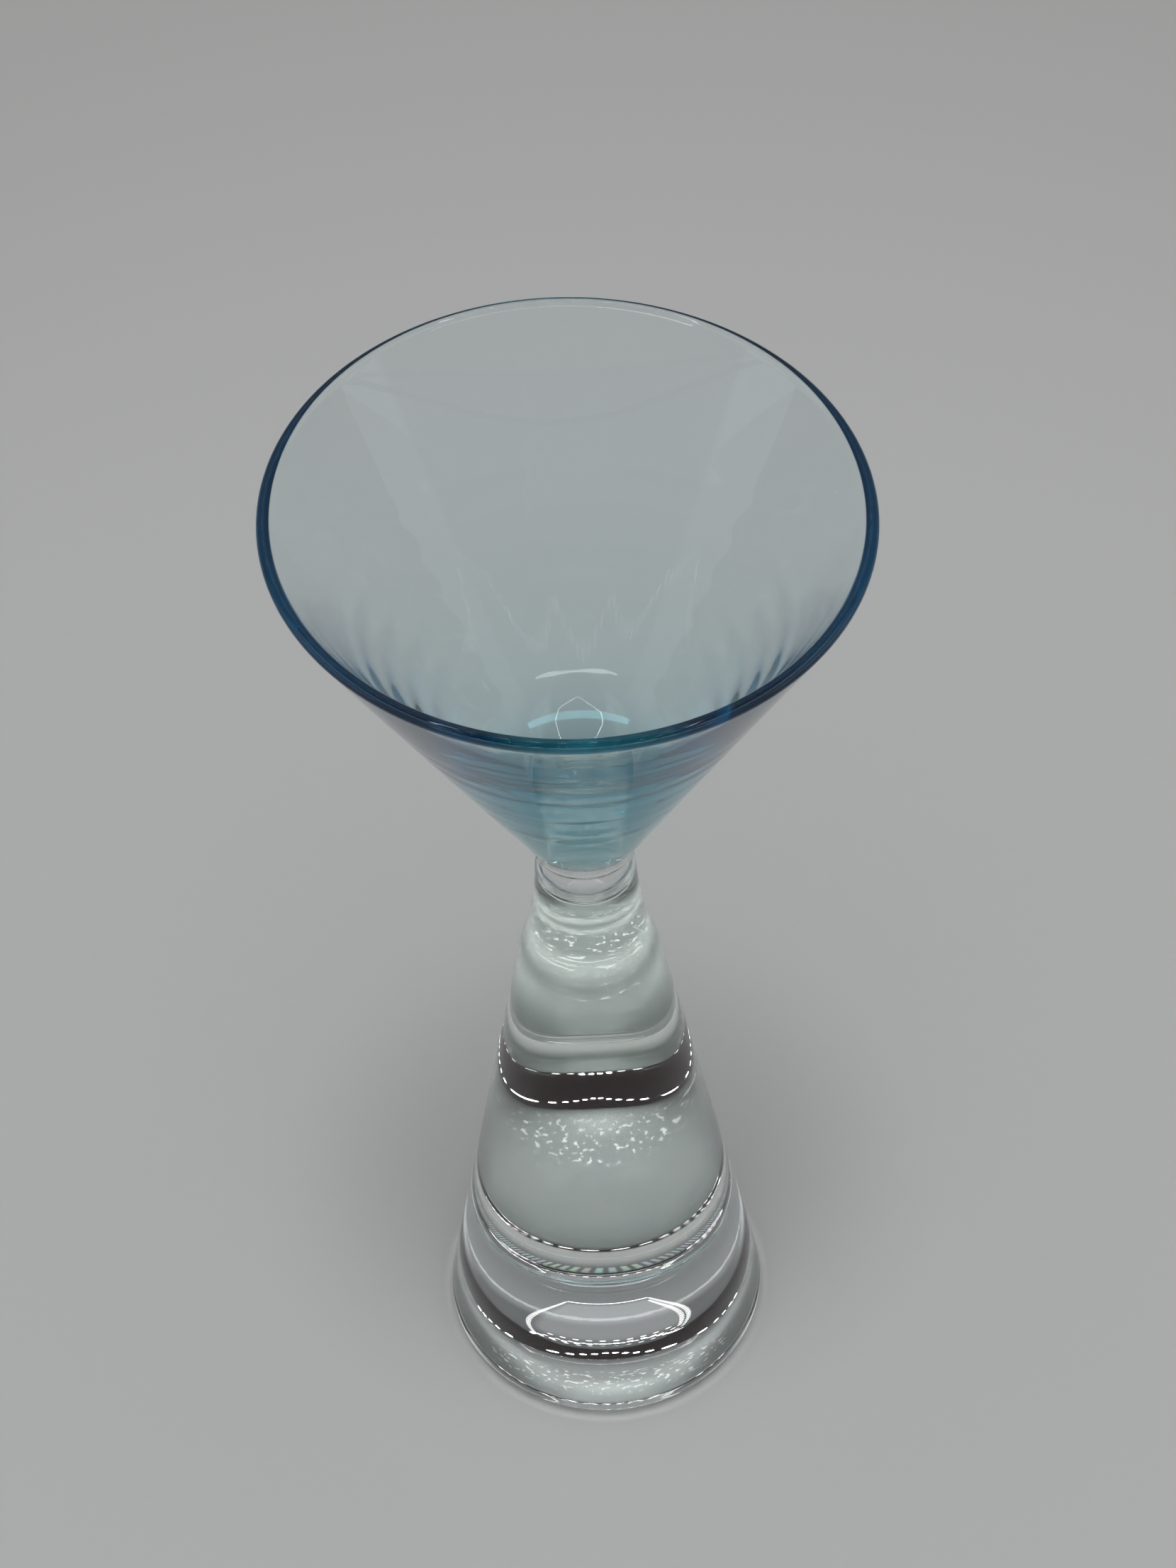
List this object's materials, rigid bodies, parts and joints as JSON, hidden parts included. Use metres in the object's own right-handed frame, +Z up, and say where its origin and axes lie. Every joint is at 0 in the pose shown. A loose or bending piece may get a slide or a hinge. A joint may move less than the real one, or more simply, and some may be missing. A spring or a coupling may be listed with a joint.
{
  "type": "liqueur glass",
  "caption": "Small hand-made liqueur glass: a thin blown aqua cone for a bowl, fused through a clear collar to a heavy solid cone of clear glass that is stem and foot.",
  "frame": {"origin": "centre of the flat ring that the glass stands on", "axes": "+Z up the axis of the glass, from the base to the rim; +X to the right in the picture, towards the slightly lower side of the rim"},
  "size_m": [0.06, 0.06, 0.1399],
  "materials": {
    "aqua_glass": "fire-polished",
    "clear_glass": "fire-polished"
  },
  "bodies": {
    "root": {"bowl": "aqua_glass", "collar": "clear_glass", "foot": "clear_glass"}
  },
  "joints": []
}
